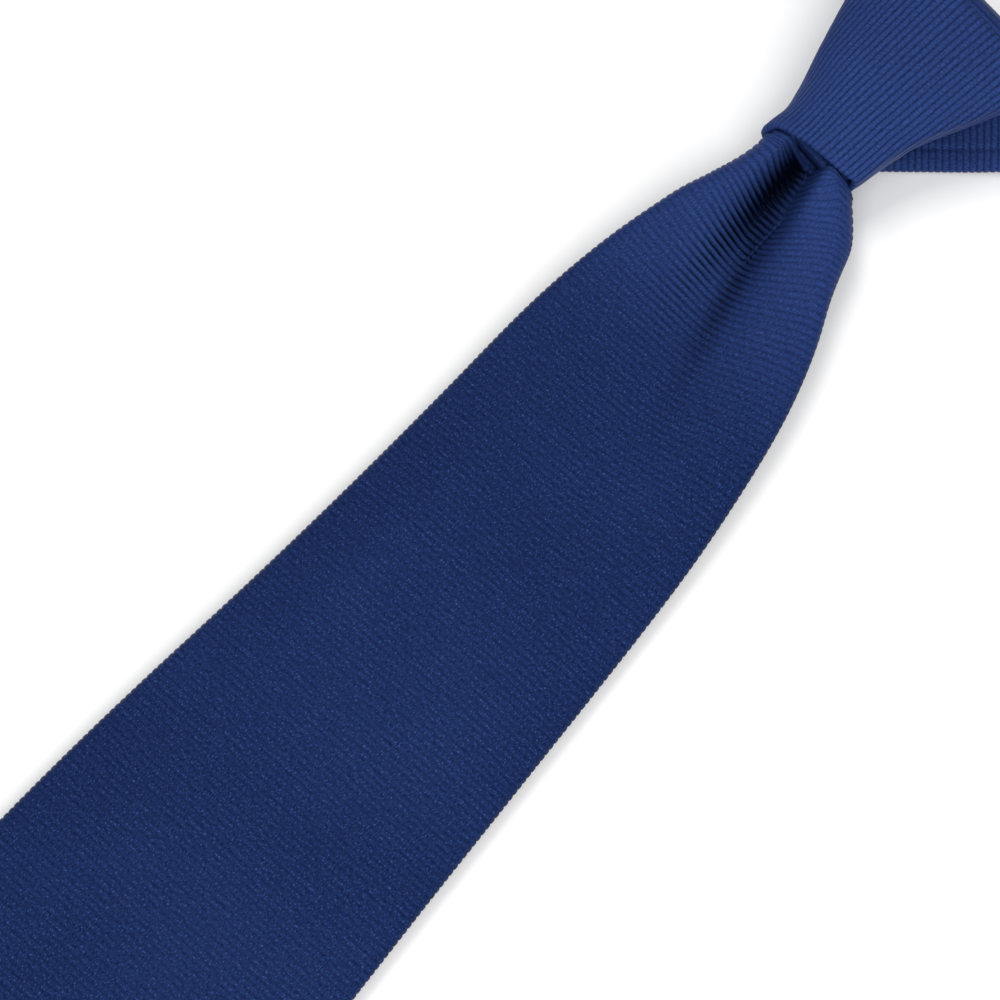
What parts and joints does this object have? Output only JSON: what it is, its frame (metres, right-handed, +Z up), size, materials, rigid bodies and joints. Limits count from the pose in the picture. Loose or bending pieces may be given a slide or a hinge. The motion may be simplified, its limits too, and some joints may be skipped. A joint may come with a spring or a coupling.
{
  "type": "silk necktie",
  "caption": "Ribbed navy silk necktie tied in a four-in-hand knot, lying on its back with the neck loop laid out; the tail pulls through the knot.",
  "frame": {"origin": "middle of the whole tie's width and length, on the table it lies on", "axes": "+Y along the tie from the blade's point to the neck loop, +Z up out of the table and out of the tie's face, +X to the right seen from above"},
  "size_m": [0.12, 0.626, 0.036],
  "materials": {
    "silk": "ribbed silk, satin",
    "interlining": "brushed wool, matte",
    "tipping": "plain lining, satin",
    "thread": "silk thread, satin",
    "label": "woven satin"
  },
  "bodies": {
    "knot": {"knot_front_wrap": "silk", "knot_over_pass": "silk", "knot_blade_stretch": "silk", "knot_first_cross": "silk", "knot_back_wrap": "silk", "blade_throat": "silk"},
    "blade": {"blade_shell": "silk", "blade_interlining": "interlining", "blade_tipping": "tipping", "blade_slip_stitch": "thread", "blade_bar_tack": "thread", "keeper_loop": "silk", "blank_label": "label"},
    "tail": {"tail_shell": "silk", "tail_interlining": "interlining", "tail_tipping": "tipping", "tail_slip_stitch": "thread", "tail_bar_tack": "thread", "care_label": "label"},
    "neck_loop": {"neck_shell": "silk", "neck_interlining": "interlining", "band_right": "silk", "band_left": "silk", "piecing_seams": "thread"}
  },
  "joints": [
    {"name": "blade_lift", "type": "hinge", "parent": "knot", "child": "blade", "pos_m": [0, 0.13104, 0.01075], "axis": [-1, 0, 0], "range_deg": [0, 60]},
    {"name": "tail_pull", "type": "slide", "parent": "knot", "child": "tail", "axis": [0, -1, 0], "range_m": [0, 0.06]},
    {"name": "loop_tighten", "type": "slide", "parent": "knot", "child": "neck_loop", "axis": [0, -1, 0], "range_m": [0, 0.024], "deforming": ["neck_shell", "neck_interlining", "band_right", "band_left", "piecing_seams"]}
  ],
  "couplings": [
    {"joint": "loop_tighten", "follows": "tail_pull", "ratio": 0.4}
  ]
}
